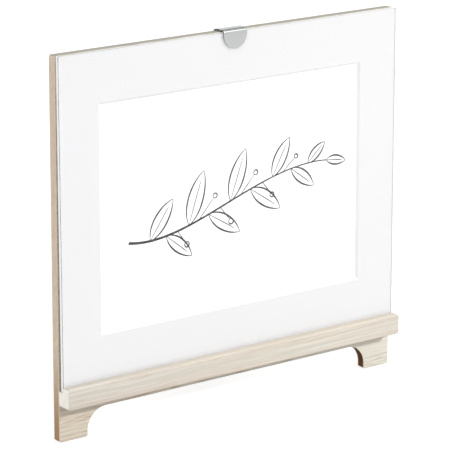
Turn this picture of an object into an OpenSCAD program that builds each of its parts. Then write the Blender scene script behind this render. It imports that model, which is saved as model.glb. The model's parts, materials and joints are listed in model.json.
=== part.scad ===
// Table-top picture frame: a veneered board on two cut feet, with a wooden ledge across its front,
// a glazed picture that stands in the ledge under one spring clip, and a leg that folds out behind.
// Every piece is drawn on the upright board (X across, Y from the board's front face to its back,
// Z up from the feet) and then leaned back on the leg.

/* [Board] */
// Width of the board
board_w = 230; // [200:1:280]
// Height of the board from the soles of its feet
board_h = 211; // [185:1:250]
// Thickness of the board with both veneers
board_t = 5.5; // [5:0.5:10]
// Thickness of each face veneer
veneer_t = 0.6; // [0.4:0.1:1]
// Radius of the board's two upper corners
board_corner_r = 1.6; // [1:0.1:8]
// Width of each foot
foot_w = 18; // [12:0.5:30]
// Radius of the corners under each foot
foot_corner_r = 1.2; // [0.5:0.1:3]
// Height of the arch between the feet
arch_h = 15.2; // [13.5:0.1:18]
// Radius of the arch's two shoulders
arch_r = 12; // [6:0.5:12]
// Depth of the level strip planed under each foot, from the back
foot_flat = 3; // [1:0.5:5]

/* [Stance] */
// Angle that the board leans back
lean = 10; // [6:0.5:15]
// Angle between the board and the opened leg
leg_angle = 20; // [16:0.5:30]

/* [Ledge] */
// How far each end of the ledge stands past the board
ledge_overhang = 0.2; // [0:0.1:3]
// Height of the ledge's underside
ledge_z = 20; // [18:0.5:30]
// Height of the ledge
ledge_h = 12; // [9:0.5:18]
// Thickness of the lip that stands in front of the glass
lip_t = 5.4; // [4.8:0.1:10]
// Depth of the rebate that the picture stands in
rebate_h = 3; // [2:0.25:5]
// Radius of the ledge's long front edges
ledge_edge_r = 1; // [0.4:0.1:2]
// Radius of the ledge's front corners
ledge_corner_r = 1.3; // [0.5:0.1:3]

/* [Picture] */
// Gap from each side of the glass to the side of the board
glass_inset = 0.7; // [0:0.1:4]
// Distance from the top of the glass up to the top of the board
glass_drop = 0; // [0:0.25:4]
// Thickness of the glass
glass_t = 1; // [0.8:0.1:1.2]
// Thickness of the mat
mat_t = 1.3; // [1:0.1:1.5]
// Thickness of the print
print_t = 0.15; // [0.1:0.05:0.4]
// Width of the mat's window, at the face of the mat
window_w = 178; // [120:1:190]
// Height of the mat's window, at the face of the mat
window_h = 127; // [90:1:140]
// Height of the window above the foot of the mat
window_z = 27; // [15:1:35]
// How far the foot of the picture stands off the board
picture_kick = 1; // [0.5:0.1:2]

/* [Clip] */
// Width of the clip
clip_w = 16; // [10:0.5:30]
// Thickness of the clip's steel
clip_t = 0.5; // [0.3:0.05:0.7]
// Length of the straight part of the tongue, above its half round end
tongue_straight = 1.6; // [0.5:0.1:6]
// Length of the leg behind the board
clip_leg = 14; // [8:0.5:24]
// Radius of the corners of that leg
clip_leg_r = 3; // [1:0.5:5]
// Bend radius where the tongue rolls over the glass
roll_r = 0.6; // [0.5:0.05:1]
// Bend radius of the valley behind that roll
valley_r = 0.6; // [0.5:0.05:1]
// Bend radius at the back of the bow
back_r = 0.5; // [0.45:0.05:0.65]
// Angle that the roll runs down into the valley
valley_fall = 50; // [30:1:55]
// Angle at which the bow rises from the valley
bow_rise = 24; // [18:1:32]

/* [Leg] */
// Width of the leg at its pivot
leg_top_w = 32; // [24:1:44]
// Width of the leg at its foot
leg_foot_w = 50; // [45:1:80]
// Thickness of the leg
leg_t = 7; // [5:0.5:10]
// Height of the pivot up the board
pivot_z = 140; // [110:1:165]
// Length of the heel above the pivot
heel_h = 9; // [6:0.5:16]
// Length of the parallel cheeks below the pivot
cheek_h = 15; // [13:0.5:30]
// Radius of the corners of the heel
heel_corner_r = 2.5; // [1:0.5:5]
// Radius of the waist where the cheeks flare into the foot
leg_waist_r = 40; // [10:1:80]

/* [Leg bracket] */
// Thickness of the bracket's sheet steel
bracket_t = 1.2; // [0.8:0.1:2]
// Height of the bracket's plate
bracket_h = 22; // [20:0.5:32]
// Width of each flange outside the ears
flange_w = 13; // [10:0.5:20]
// Radius of the corners of the bracket's plate
flange_r = 2; // [0.5:0.5:4]
// Inside radius of the bend at the root of each ear
bend_r = 0.6; // [0.3:0.1:1]
// Radius of the ears round the pivot
ear_r = 5; // [3.5:0.1:7]
// Diameter of the rivet that the leg turns on
rivet_d = 3; // [2:0.1:4]
// Diameter of the rivet's heads
rivet_head_d = 6; // [5:0.1:8]
// Height of the rivet's heads
rivet_head_h = 1.4; // [0.8:0.1:2]

/* [Screws] */
// Diameter of the screws that hold the ledge
ledge_screw_d = 3.5; // [2.5:0.1:4]
// Head diameter of the ledge screws
ledge_screw_head_d = 7; // [6:0.1:7.5]
// Length of the ledge screws
ledge_screw_l = 13; // [11:0.5:14]
// Distance between the ledge screws
ledge_screw_pitch = 80; // [50:1:95]
// Diameter of the bracket screws
bracket_screw_d = 2.8; // [2:0.1:3.5]
// Head diameter of the bracket screws
bracket_screw_head_d = 5.6; // [4.5:0.1:6.5]
// Head height of the bracket screws
bracket_screw_head_h = 1.7; // [1:0.1:2.5]
// Length of the bracket screws under the head
bracket_screw_l = 5.4; // [4:0.1:5.8]
// Distance between the two screws in one flange
bracket_screw_pitch = 12; // [9:0.5:16]
// Width of the slots of the cross recess
recess_w = 0.7; // [0.4:0.1:1]
// Depth of the cross recess
recess_h = 0.9; // [0.5:0.1:1.2]

/* [Clearances] */
// Gap where a flat piece rests on its seat
seat_gap = 0.05; // [0.02:0.01:0.2]
// Gap between the clip and what it grips, on each side
clip_gap = 0.05; // [0.02:0.01:0.2]
// Gap between the foot of the glass and the lip
lip_gap = 0.3; // [0.1:0.05:0.6]
// Running gap round the rivet in the leg
rivet_gap = 0.05; // [0.02:0.01:0.1]
// Gap round a screw or rivet that is fixed
fixed_gap = 0.02; // [0.01:0.01:0.05]
// Gap between the leg and each ear
ear_gap = 0.3; // [0.2:0.05:0.6]
// Gap between the folded leg and the bracket's plate
fold_gap = 0.4; // [0.3:0.05:0.8]
// Gap between the opened leg's heel and the bracket's plate
heel_gap = 0.05; // [0.02:0.01:0.2]

/* [Hidden] */
$fn = 64;

// A length past every piece, for cuts
past = 600;

// Places on the upright board
picture_t = glass_t + mat_t + print_t;
// Opening at the back of the mat, smaller than at its face by a bevel of 45 degrees
opening_w = window_w - 2 * mat_t;
opening_h = window_h - 2 * mat_t;
rebate_w = seat_gap + picture_kick + picture_t + lip_gap;
rebate_z = ledge_z + ledge_h - rebate_h;
ledge_t = rebate_w + lip_t;
ledge_screw_z = (ledge_z + rebate_z) / 2;
glass_top_z = board_h - glass_drop;
glass_w = board_w - 2 * glass_inset;
glass_h = glass_top_z - rebate_z - seat_gap;
picture_tilt = atan(picture_kick / glass_h);
pivot_y = board_t + bracket_t + fold_gap + leg_t / 2;
ear_x = leg_top_w / 2 + ear_gap;
flange_x = ear_x + bracket_t;
bracket_w = 2 * (flange_x + flange_w);
ear_l = pivot_y - board_t + ear_r;
bend_x = flange_x + bend_r;
leg_half_t = leg_t / 2;

// The clip's section: the middle line of its steel, from the tongue over the top to the back leg
tongue_r = clip_w / 2;
tongue_h = tongue_straight + tongue_r;
bend_steps = 12;
tongue_y = -(seat_gap + picture_t + clip_gap + tongue_h * tan(picture_tilt) + clip_t / 2);
clip_back_y = board_t + clip_gap + clip_t / 2;
roll_z = max(board_h, glass_top_z) + clip_t / 2;
tongue_low_z = roll_z - tongue_straight;
roll_end_y = tongue_y + roll_r * (1 + sin(valley_fall));
roll_end_z = roll_z + roll_r * cos(valley_fall);
valley_y = roll_end_y + valley_r * sin(valley_fall);
valley_z = roll_end_z + valley_r * cos(valley_fall);
valley_end_y = roll_end_y + valley_r * (sin(bow_rise) + sin(valley_fall));
valley_end_z = roll_end_z + valley_r * (cos(valley_fall) - cos(bow_rise));
bow_end_y = clip_back_y - back_r * (1 - sin(bow_rise));
bow_r = (bow_end_y - valley_end_y) / (2 * sin(bow_rise));
bow_y = (bow_end_y + valley_end_y) / 2;
bow_z = valley_end_z - bow_r * cos(bow_rise);
back_bend_z = valley_end_z - back_r * cos(bow_rise);

// The stance: how the upright board is placed on the table
leg_slope = leg_angle - lean;
foot_lift = (board_t - foot_flat) * sin(lean);
pivot_table_y = pivot_y * cos(lean) + pivot_z * sin(lean);
pivot_table_z = pivot_z * cos(lean) - pivot_y * sin(lean) + foot_lift;
front_y = (ledge_z + ledge_edge_r) * sin(lean) - (ledge_t - ledge_edge_r) * cos(lean) - ledge_edge_r;
back_y = pivot_table_y + leg_half_t * cos(leg_slope)
    + (pivot_table_z + leg_half_t * sin(leg_slope)) * tan(leg_slope);
middle_y = (front_y + back_y) / 2;

// Direction from corner i of an outline to the next corner (step 1) or the one before (step -1)
function side(outline, i, step) =
    let (n = len(outline), a = outline[i], b = outline[(i + step + n) % n], v = [b.x - a.x, b.y - a.y])
    v / norm(v);
// Half the angle between the two sides that meet at corner i
function half_angle(outline, i) = acos(side(outline, i, 1) * side(outline, i, -1)) / 2;
// Where the round of corner i meets its side
function round_end(outline, i, step) =
    [outline[i].x, outline[i].y] + side(outline, i, step) * outline[i].z / tan(half_angle(outline, i));
// Centre of the round of corner i
function round_centre(outline, i) =
    let (v = side(outline, i, 1) + side(outline, i, -1))
    [outline[i].x, outline[i].y] + v / norm(v) * outline[i].z / sin(half_angle(outline, i));
// True where an outline that runs anticlockwise turns outwards at corner i
function outer_corner(outline, i) =
    let (a = side(outline, i, -1), b = side(outline, i, 1)) a.x * b.y - a.y * b.x < 0;

// The points of corner i: itself where it is sharp, or else the two ends of its round
function corner_points(outline, i) =
    let (corner = outline[i])
    corner.z == 0 ? [[corner.x, corner.y]] : [round_end(outline, i, -1), round_end(outline, i, 1)];

// Outline with rounded corners, from corners [x, y, radius] that run anticlockwise
module rounded(outline) {
    corners = [for (i = [0 : len(outline) - 1]) i];
    rounds = [for (i = corners) if (outline[i].z > 0) i];
    difference() {
        union() {
            polygon([for (i = corners) each corner_points(outline, i)]);
            for (i = rounds)
                if (outer_corner(outline, i)) translate(round_centre(outline, i)) circle(r = outline[i].z);
        }
        for (i = rounds)
            if (!outer_corner(outline, i)) translate(round_centre(outline, i)) circle(r = outline[i].z);
    }
}

// Flat piece with its outline in X and Z, from the depth y_front to the depth y_back
module panel(y_front, y_back) {
    translate([0, y_back, 0]) rotate([90, 0, 0]) linear_extrude(y_back - y_front) children();
}

// Bar with its section in Y and Z, centred on X
module bar(length) {
    translate([-length / 2, 0, 0]) rotate([90, 0, 90]) linear_extrude(length) children();
}

// Places a piece of the upright board as the frame stands on the table
module standing() {
    translate([0, -middle_y, foot_lift]) rotate([-lean, 0, 0]) children();
}

// Cuts off whatever would reach below the table
module above_table() {
    intersection() {
        children();
        translate([-past / 2, -past / 2, 0]) cube(past);
    }
}

// Places a piece of the picture, drawn down from its top edge, with y = 0 at its back
module in_picture() {
    standing() translate([0, -seat_gap, glass_top_z]) rotate([-picture_tilt, 0, 0]) children();
}

// Places a piece of the leg, drawn about its pivot as it hangs folded
module on_leg() {
    standing() translate([0, pivot_y, pivot_z]) rotate([leg_angle, 0, 0]) children();
}

// Countersunk screw that points down from its head at z = 0
module countersunk(d, head_d, length, gap) {
    cone_h = (head_d - d) / 2;
    shank_r = d / 2 + gap;
    rotate_extrude() polygon([[0, 0], [head_d / 2 + gap, 0], [shank_r, -cone_h], [shank_r, -length + d],
        [gap, -length - gap], [0, -length - gap]]);
}

// Pan head screw that points down, with the seat of its head at z = 0
module pan_head(d, head_d, head_h, length, gap) {
    crown_r = head_d / 2 - head_h / 2;
    shank_r = d / 2 + gap;
    rotate_extrude() polygon([[0, head_h], [crown_r, head_h], [head_d / 2, head_h / 2], [head_d / 2, 0],
        [shank_r, 0], [shank_r, -length + d], [gap, -length - gap], [0, -length - gap]]);
}

// Cross recess cut down from z = 0
module cross_recess(head_d) {
    slot_l = head_d / 2;
    for (turn = [0, 90])
        rotate([0, 0, turn]) translate([-slot_l / 2, -recess_w / 2, -recess_h])
            cube([slot_l, recess_w, 2 * recess_h]);
}

// The places of the ledge screws, on the back of the board and pointing forwards
module at_ledge_screws() {
    for (i = [-1, 0, 1])
        translate([i * ledge_screw_pitch, board_t, ledge_screw_z]) rotate([-90, 0, 0]) children();
}

// The places of the bracket screws, on the bracket's flanges and pointing forwards
module at_bracket_screws() {
    for (x_side = [-1, 1], z_side = [-1, 1])
        translate([x_side * (flange_x + flange_w / 2), board_t + bracket_t,
            pivot_z + z_side * bracket_screw_pitch / 2])
            rotate([-90, 0, 0]) children();
}

// One layer of the board between two depths, with its feet, arch and screw holes
module board_layer(y_front, y_back) {
    half_w = board_w / 2;
    inner_x = half_w - foot_w;
    above_table() standing() difference() {
        panel(y_front, y_back) rounded([
            [-half_w, 0, foot_corner_r], [-inner_x, 0, foot_corner_r], [-inner_x, arch_h, arch_r],
            [inner_x, arch_h, arch_r], [inner_x, 0, foot_corner_r], [half_w, 0, foot_corner_r],
            [half_w, board_h, board_corner_r], [-half_w, board_h, board_corner_r]]);
        at_ledge_screws() countersunk(ledge_screw_d, ledge_screw_head_d, ledge_screw_l, fixed_gap);
        at_bracket_screws()
            pan_head(bracket_screw_d, bracket_screw_head_d, bracket_screw_head_h, bracket_screw_l, fixed_gap);
    }
}

module board_core() {
    color([0.78, 0.70, 0.58]) board_layer(veneer_t, board_t - veneer_t);
}

module front_veneer() {
    color([0.88, 0.83, 0.75]) board_layer(0, veneer_t);
}

module back_veneer() {
    color([0.86, 0.80, 0.71]) board_layer(board_t - veneer_t, board_t);
}

// The ledge is one bar: an L section whose rebate faces the board, with eased front edges and corners
module ledge() {
    half_w = board_w / 2 + ledge_overhang;
    top_z = ledge_z + ledge_h;
    color([0.87, 0.82, 0.76]) standing() difference() {
        intersection() {
            bar(2 * half_w) difference() {
                rounded([[-ledge_t, ledge_z, ledge_edge_r], [0, ledge_z, 0], [0, top_z, 0],
                    [-ledge_t, top_z, ledge_edge_r]]);
                translate([-rebate_w, rebate_z]) square([2 * rebate_w, 2 * rebate_h]);
            }
            panel(-ledge_t, 0) rounded([[-half_w, ledge_z, ledge_corner_r], [half_w, ledge_z, ledge_corner_r],
                [half_w, top_z, ledge_corner_r], [-half_w, top_z, ledge_corner_r]]);
        }
        at_ledge_screws() countersunk(ledge_screw_d, ledge_screw_head_d, ledge_screw_l, fixed_gap);
    }
}

module ledge_screws() {
    color([0.75, 0.74, 0.70]) standing() at_ledge_screws() difference() {
        countersunk(ledge_screw_d, ledge_screw_head_d, ledge_screw_l, 0);
        cross_recess(ledge_screw_head_d);
    }
}

// Plain sheet of the picture's size, between two depths counted forwards from its back
module picture_sheet(back, front) {
    translate([-glass_w / 2, -front, -glass_h]) cube([glass_w, front - back, glass_h]);
}

module glass_pane() {
    color([0.86, 0.92, 0.90, 0.35]) in_picture() picture_sheet(print_t + mat_t, picture_t);
}

// The mat's window is cut at 45 degrees, so that its bevel shows from the front
module mat_board() {
    color([0.96, 0.96, 0.97]) in_picture() difference() {
        picture_sheet(print_t, print_t + mat_t);
        translate([0, -print_t, window_z + window_h / 2 - glass_h]) rotate([90, 0, 0])
            linear_extrude(mat_t, slices = 1, scale = [window_w / opening_w, window_h / opening_h])
                square([opening_w, opening_h], center = true);
    }
}

module print_sheet() {
    color([1, 1, 1]) in_picture() picture_sheet(0, print_t);
}

// Points round a bend of the clip, from one angle to another
function bend(centre, r, from, to) =
    [for (i = [0 : bend_steps]) let (a = from + (to - from) * i / bend_steps) centre + r * [cos(a), sin(a)]];
// One face of the clip's steel, from the tongue over the top to the back leg, a distance out from its middle
function clip_face(out) = concat(
    [[tongue_y - out, tongue_low_z - tongue_r]],
    bend([tongue_y + roll_r, roll_z], roll_r + out, 180, 90 - valley_fall),
    bend([valley_y, valley_z], valley_r - out, 270 - valley_fall, 270 + bow_rise),
    bend([bow_y, bow_z], bow_r + out, 90 + bow_rise, 90 - bow_rise),
    bend([clip_back_y - back_r, back_bend_z], back_r + out, 90 - bow_rise, 0),
    [[clip_back_y + out, board_h - clip_leg]]);
function reversed(points) = [for (i = [len(points) - 1 : -1 : 0]) points[i]];

// The clip is one strip: a half round tongue on the glass, a bow over the top and a leg behind the board
module top_clip() {
    back_low_z = board_h - clip_leg;
    half_w = clip_w / 2;
    color([0.78, 0.79, 0.79]) standing() difference() {
        bar(clip_w) polygon(concat(clip_face(clip_t / 2), reversed(clip_face(-clip_t / 2))));
        panel(-past, bow_y) difference() {
            translate([-clip_w, tongue_low_z - clip_w]) square([2 * clip_w, clip_w]);
            translate([0, tongue_low_z]) circle(r = tongue_r);
        }
        panel(bow_y, past) difference() {
            translate([-clip_w, back_low_z - clip_w]) square([2 * clip_w, clip_w + clip_leg_r]);
            rounded([[-half_w, back_low_z, clip_leg_r], [half_w, back_low_z, clip_leg_r],
                [half_w, board_h, clip_leg_r], [-half_w, board_h, clip_leg_r]]);
        }
    }
}

// Outline of an ear, from its root at x = 0 to its round end
module ear_outline(length) {
    translate([0, -ear_r]) square([length - ear_r, 2 * ear_r]);
    translate([length - ear_r, 0]) circle(r = ear_r);
}

// The right ear, bent up from the plate's flange
module ear() {
    plate_y = board_t + bracket_t;
    tip_y = board_t + ear_l;
    root_x = bend_x + bend_r + 2 * bracket_t;
    clear_x = root_x + bracket_t;
    clear_y = tip_y + bracket_t;
    intersection() {
        translate([0, 0, pivot_z - ear_r]) linear_extrude(2 * ear_r) difference() {
            rounded([[ear_x, board_t, bend_r + bracket_t], [root_x, board_t, 0], [root_x, tip_y, 0],
                [ear_x, tip_y, 0]]);
            rounded([[flange_x, plate_y, bend_r], [clear_x, plate_y, 0], [clear_x, clear_y, 0],
                [flange_x, clear_y, 0]]);
        }
        bar(bracket_w) translate([board_t, pivot_z]) ear_outline(ear_l);
    }
}

// The bracket is one sheet: a plate on the back of the board, and two ears for the rivet that are cut
// from the middle of the plate and bent up, each of which leaves a window of its own flat shape
module leg_bracket() {
    half_w = bracket_w / 2;
    half_h = bracket_h / 2;
    window_l = PI / 2 * (bend_r + 0.4 * bracket_t) + ear_l - bracket_t - bend_r;
    color([0.72, 0.73, 0.74]) standing() difference() {
        union() {
            panel(board_t, board_t + bracket_t) difference() {
                rounded([[-half_w, pivot_z - half_h, flange_r], [half_w, pivot_z - half_h, flange_r],
                    [half_w, pivot_z + half_h, flange_r], [-half_w, pivot_z + half_h, flange_r]]);
                for (x_side = [0, 1])
                    mirror([x_side, 0]) translate([-bend_x, pivot_z]) ear_outline(window_l);
            }
            for (x_side = [0, 1]) mirror([x_side, 0, 0]) ear();
        }
        translate([0, pivot_y, pivot_z]) rotate([0, 90, 0])
            cylinder(d = rivet_d + 2 * fixed_gap, h = bracket_w, center = true);
        at_bracket_screws() cylinder(d = bracket_screw_d + 2 * fixed_gap, h = past, center = true);
    }
}

module bracket_screws() {
    color([0.75, 0.74, 0.70]) standing() at_bracket_screws() difference() {
        pan_head(bracket_screw_d, bracket_screw_head_d, bracket_screw_head_h, bracket_screw_l, 0);
        translate([0, 0, bracket_screw_head_h]) cross_recess(bracket_screw_head_d);
    }
}

// The rivet is one turned piece with a low domed head against each ear
module leg_rivet() {
    seat_x = ear_x + bracket_t + fixed_gap;
    head_x = seat_x + rivet_head_h;
    rim_x = seat_x + rivet_head_h / 3;
    head_r = rivet_head_d / 2;
    crown_r = head_r / 2;
    color([0.70, 0.71, 0.72]) standing() translate([0, pivot_y, pivot_z]) rotate([0, 90, 0])
        rotate_extrude() polygon([[0, -head_x], [crown_r, -head_x], [head_r, -rim_x], [head_r, -seat_x],
            [rivet_d / 2, -seat_x], [rivet_d / 2, seat_x], [head_r, seat_x], [head_r, rim_x],
            [crown_r, head_x], [0, head_x]]);
}

// The leg hangs from the rivet. Its heel is bevelled, so that it comes up flat against the bracket's
// plate when the leg is open, and its foot is cut level with the table.
module folding_leg() {
    half_top = leg_top_w / 2;
    half_foot = leg_foot_w / 2;
    stock_l = pivot_table_z / cos(leg_slope) + leg_t;
    color([0.86, 0.79, 0.68]) above_table() on_leg() difference() {
        panel(-leg_half_t, leg_half_t) rounded([
            [-half_foot, -stock_l, heel_corner_r], [half_foot, -stock_l, heel_corner_r],
            [half_top, -cheek_h, leg_waist_r], [half_top, heel_h, heel_corner_r],
            [-half_top, heel_h, heel_corner_r], [-half_top, -cheek_h, leg_waist_r]]);
        rotate([0, 90, 0]) cylinder(d = rivet_d + 2 * rivet_gap, h = past, center = true);
        rotate([-leg_angle, 0, 0])
            translate([-past / 2, board_t + bracket_t + heel_gap - pivot_y - past, -past / 2]) cube(past);
    }
}

board_core();
front_veneer();
back_veneer();
ledge();
ledge_screws();
glass_pane();
mat_board();
print_sheet();
top_clip();
leg_bracket();
bracket_screws();
leg_rivet();
folding_leg();
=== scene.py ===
# %% [markdown]
# # A table-top picture frame, dressed in Blender
# The object is a thin veneered board that stands on two cut feet and leans back on a folding leg. A wooden
# ledge across its front holds a pane of glass, a mat and a print, and one spring clip grips them at the top.
# The solids come from CAD, already in their places and in metres. This lesson gives them their finish, and
# makes finer surfaces where a solid is too plain for a close look.

import json
import math

import bpy
import numpy as np
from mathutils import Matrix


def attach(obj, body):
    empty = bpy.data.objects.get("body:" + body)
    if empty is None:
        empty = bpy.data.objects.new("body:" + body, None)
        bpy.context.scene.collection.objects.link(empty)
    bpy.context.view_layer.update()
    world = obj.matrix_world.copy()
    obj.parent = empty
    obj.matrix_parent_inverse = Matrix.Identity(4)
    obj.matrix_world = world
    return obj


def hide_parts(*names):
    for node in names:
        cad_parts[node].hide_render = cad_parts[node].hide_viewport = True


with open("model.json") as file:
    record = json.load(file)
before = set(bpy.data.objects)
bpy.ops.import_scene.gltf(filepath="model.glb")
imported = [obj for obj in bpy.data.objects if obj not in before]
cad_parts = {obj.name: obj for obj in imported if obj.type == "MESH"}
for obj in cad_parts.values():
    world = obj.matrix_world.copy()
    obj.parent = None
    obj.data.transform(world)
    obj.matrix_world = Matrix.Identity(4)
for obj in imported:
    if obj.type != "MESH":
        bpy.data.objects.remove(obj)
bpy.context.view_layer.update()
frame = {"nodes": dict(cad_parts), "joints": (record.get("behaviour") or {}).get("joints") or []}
nodes = frame["nodes"]
joints = {joint["name"]: joint for joint in frame["joints"]}
scene = bpy.context.scene
print("nodes:", ", ".join(sorted(nodes)))
print("joints:", ", ".join(sorted(joints)))

# %% [markdown]
# ## Two sets of axes
# The board leans back, and the picture leans a little more, because its foot stands off the board. It is
# easier to draw on an upright board and to place the drawing afterwards. The joints already know both
# directions: the clip slides up along the board, and the picture slides up along itself. So the axes are
# read from them, and no angle is written twice.

# %% Axes of the board and of the picture
MM = 0.001
ACROSS = np.array([1.0, 0.0, 0.0])
UP = np.array([0.0, 0.0, 1.0])

# Sizes and places on the upright board are in millimetres, from the middle of the foot of its front face
BOARD_H = 211.0
PICTURE_GAP = 0.05
PIVOT_Y = 10.6
PIVOT_Z = 140.0


def axes(up):
    """Across, back and up directions, as rows, of a sheet that leans back along the direction up."""
    up = np.array(up) / np.linalg.norm(up)
    return np.stack([ACROSS, np.cross(up, ACROSS), up])


board_axes = axes(joints["clip_lift"]["axis"])
picture_axes = axes(joints["picture_lift"]["axis"])
pivot = np.array(joints["leg_fold"]["pos_m"])
board_origin = pivot - MM * np.array([0.0, PIVOT_Y, PIVOT_Z]) @ board_axes


def on_board(points):
    """Points on the upright board, in millimetres, as places in the frame, in metres."""
    return board_origin + MM * np.asarray(points, float) @ board_axes


picture_origin = on_board([0.0, -PICTURE_GAP, BOARD_H])


def on_picture(points):
    """Points on the picture, in millimetres from its top back edge, as places in the frame, in metres."""
    return picture_origin + MM * np.asarray(points, float) @ picture_axes


lean = math.degrees(math.atan2(board_axes[2, 1], board_axes[2, 2]))
print(f"the board leans back {lean:.2f} degrees")

# %% [markdown]
# ## The camera
# The photograph looks at the board from its left and from above, through a long lens. Its place is given on
# the upright board, where it was measured, and turned into the frame with the same axes as the pieces.

# %% Camera
CAMERA_PLACE = [-886.4, -1160.0, 500.4]
CAMERA_YAW = math.radians(37.27)
CAMERA_PITCH = math.radians(15.28)
CAMERA_ROLL = math.radians(0.16)
LENS_PIXELS = 2751.6
IMAGE_PIXELS = 452
SENSOR_MM = 36.0


def camera_matrix():
    """Camera axes: forward from yaw and pitch, right square to it and level, and both turned by the roll."""
    forward = np.array([
        math.sin(CAMERA_YAW) * math.cos(CAMERA_PITCH),
        math.cos(CAMERA_YAW) * math.cos(CAMERA_PITCH),
        -math.sin(CAMERA_PITCH)])
    level = np.array([math.cos(CAMERA_YAW), -math.sin(CAMERA_YAW), 0.0])
    above = np.cross(level, forward)
    right = level * math.cos(CAMERA_ROLL) + above * math.sin(CAMERA_ROLL)
    up = above * math.cos(CAMERA_ROLL) - level * math.sin(CAMERA_ROLL)
    matrix = np.eye(4)
    matrix[:3, :3] = (np.stack([right, up, -forward]) @ board_axes).T
    matrix[:3, 3] = on_board(CAMERA_PLACE)
    return matrix


camera = bpy.data.objects.new("camera", bpy.data.cameras.new("camera"))
scene.collection.objects.link(camera)
camera.data.sensor_width = SENSOR_MM
camera.data.lens = LENS_PIXELS / IMAGE_PIXELS * SENSOR_MM
camera.matrix_world = camera_matrix().T.tolist()
scene.camera = camera
print("camera at", np.round(on_board(CAMERA_PLACE), 3), "lens", round(camera.data.lens, 1), "mm")

# %% [markdown]
# ## A short way to write shader nodes
# The light and each finish below are small trees of nodes. One helper makes a node, sets its options, and
# sets or links its sockets, so that a tree reads from top to bottom as it runs.

# %% Helpers for shader nodes
WHITE = (1.0, 1.0, 1.0, 1.0)


def srgb(red, green, blue):
    """Linear colour, with alpha, of a display colour in steps of 255."""
    shown = np.array([red, green, blue]) / 255.0
    linear = np.where(shown <= 0.04045, shown / 12.92, ((shown + 0.055) / 1.055) ** 2.4)
    return (*linear.tolist(), 1.0)


def add_node(tree, kind, sockets=None, **options):
    """Shader node with its options set, and each socket set to a value or linked to an output."""
    made = tree.nodes.new("ShaderNode" + kind)
    for name, value in options.items():
        setattr(made, name, value)
    for name, value in (sockets or {}).items():
        if isinstance(value, bpy.types.NodeSocket):
            tree.links.new(value, made.inputs[name])
        else:
            made.inputs[name].default_value = value
    return made


def mix_colours(tree, amount, first, second, blend_type="MIX"):
    """Colour between two, by an amount from 0 to 1."""
    mixed = add_node(tree, "Mix", {0: amount, 6: first, 7: second}, data_type="RGBA", blend_type=blend_type)
    return mixed.outputs[2]


def mapped(tree, value, low, high, new_low=0.0, new_high=1.0, step="SMOOTHSTEP"):
    """Value taken from one range to another, in a smooth step or evenly, and held at both ends."""
    ramp = add_node(
        tree, "MapRange",
        {"Value": value, 1: low, 2: high, 3: new_low, 4: new_high},
        interpolation_type=step)
    return ramp.outputs["Result"]


def maths(tree, operation, first, second=0.0):
    """Result of one sum on two values."""
    return add_node(tree, "Math", {0: first, 1: second}, operation=operation).outputs[0]


def facing(tree, direction):
    """How far a face looks along a direction, or against it, from 0 to 1, whatever the pose of its piece."""
    normal = add_node(tree, "TexCoord").outputs["Normal"]
    dot = add_node(tree, "VectorMath", {0: normal, 1: tuple(direction)}, operation="DOT_PRODUCT")
    return maths(tree, "ABSOLUTE", dot.outputs["Value"])


def stretched_noise(tree, coordinates, scale, detail=3.0, roughness=0.55):
    """Noise whose grain is as fine along each axis as the three scales say, in lines for each metre."""
    stretched = add_node(tree, "Mapping", {"Vector": coordinates, "Scale": scale})
    noise = add_node(
        tree, "TexNoise",
        {"Vector": stretched.outputs[0], "Scale": 1.0, "Detail": detail, "Roughness": roughness})
    return noise.outputs[0]


def new_material(name):
    """Empty material with a Principled shader, and its tree and shader."""
    material = bpy.data.materials.new(name)
    material.use_nodes = True
    return material, material.node_tree, material.node_tree.nodes["Principled BSDF"]


def roughen(tree, shader, height, strength, distance):
    """Bump from a height on the shader's normal."""
    bump = add_node(tree, "Bump", {"Height": height, "Strength": strength, "Distance": distance})
    tree.links.new(bump.outputs[0], shader.inputs["Normal"])


print("half of full brightness on a display is", round(srgb(128, 128, 128)[0], 3), "of the light")

# %% [markdown]
# ## Light
# The photograph was made in white surroundings, brightest at the back and on the left. One lamp in front,
# above and to the right draws the short shadow under the ledge, which shows its direction, and a tall narrow
# softbox below it draws the white line on the bend of the clip. The surroundings are a world that grows
# brighter upwards and towards the back and the left, with a bright upright strip for the softbox. The lamp
# is a disc, near enough to light the right side of the frame a little more than the left. It is made twice,
# because in the photograph the clip's own shadow on the mat is much fainter than the ledge's: the clip will
# block the weaker one only.

# %% World and lamp
scene.view_settings.view_transform = "Standard"
scene.view_settings.look = "None"
WORLD_FRONT = 0.18
WORLD_BACK = 1.45
# Directions on the upright board: to the right, to the back and up
TO_BACKDROP = [-0.6, 0.7, 0.35]
TO_SOFTBOX = [0.62, -0.78, 0.0]
BESIDE_SOFTBOX = [0.78, 0.62, 0.0]
TO_LAMP = [0.62, -1.0, 0.66]
# Places of the softbox's edges in the world are sines of angles, and so are the widths that they fade over
SOFTBOX_STRENGTH = 2.9
SOFTBOX_HALF = math.sin(math.radians(12.0))
SOFTBOX_LOW = math.sin(math.radians(-8.0))
SOFTBOX_HIGH = math.sin(math.radians(20.0))
SIDE_FADE = 0.4 * SOFTBOX_HALF
END_FADE = 0.05
FRONT_FADE = 0.1
# Light that falls on a sheet turned to the lamp, in watts for each square metre
LAMP_STRENGTH = 2.35
# Share of it that the clip blocks
LAMP_SHARE_OF_CLIP = 0.25
LAMP_DISTANCE = 3.2
LAMP_ANGLE = math.radians(7.0)
LAMP_AIM = [0.0, 0.0, 90.0]


def ray_along(tree, direction):
    """How far a ray of the world points along a direction of the board, from -1 to 1."""
    unit = np.array(direction) @ board_axes / np.linalg.norm(direction)
    ray = add_node(tree, "TexCoord").outputs["Generated"]
    return add_node(tree, "VectorMath", {0: ray, 1: unit.tolist()}, operation="DOT_PRODUCT").outputs["Value"]


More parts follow.
